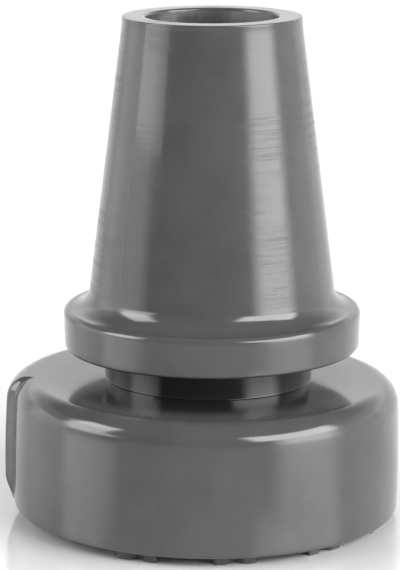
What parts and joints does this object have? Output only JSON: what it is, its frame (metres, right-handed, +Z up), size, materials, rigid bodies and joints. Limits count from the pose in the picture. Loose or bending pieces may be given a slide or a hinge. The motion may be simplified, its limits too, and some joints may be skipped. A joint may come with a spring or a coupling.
{
  "type": "cane tip",
  "caption": "One-piece rubber cane tip: a tapered socket with a blind bore for the shaft, a collar, a waisted neck and a wide round foot with a tread of crossed lugs.",
  "frame": {"origin": "middle of the foot's footprint, on the plane of the lugs' lower faces", "axes": "+Z up, towards the socket's mouth and parallel to the bore; -Y is the front; +X is the side that the socket is set over to"},
  "size_m": [0.0577, 0.0564, 0.0729],
  "materials": {
    "rubber": "glossy moulded grey rubber"
  },
  "bodies": {
    "root": {"cane_tip": "rubber"}
  },
  "joints": []
}
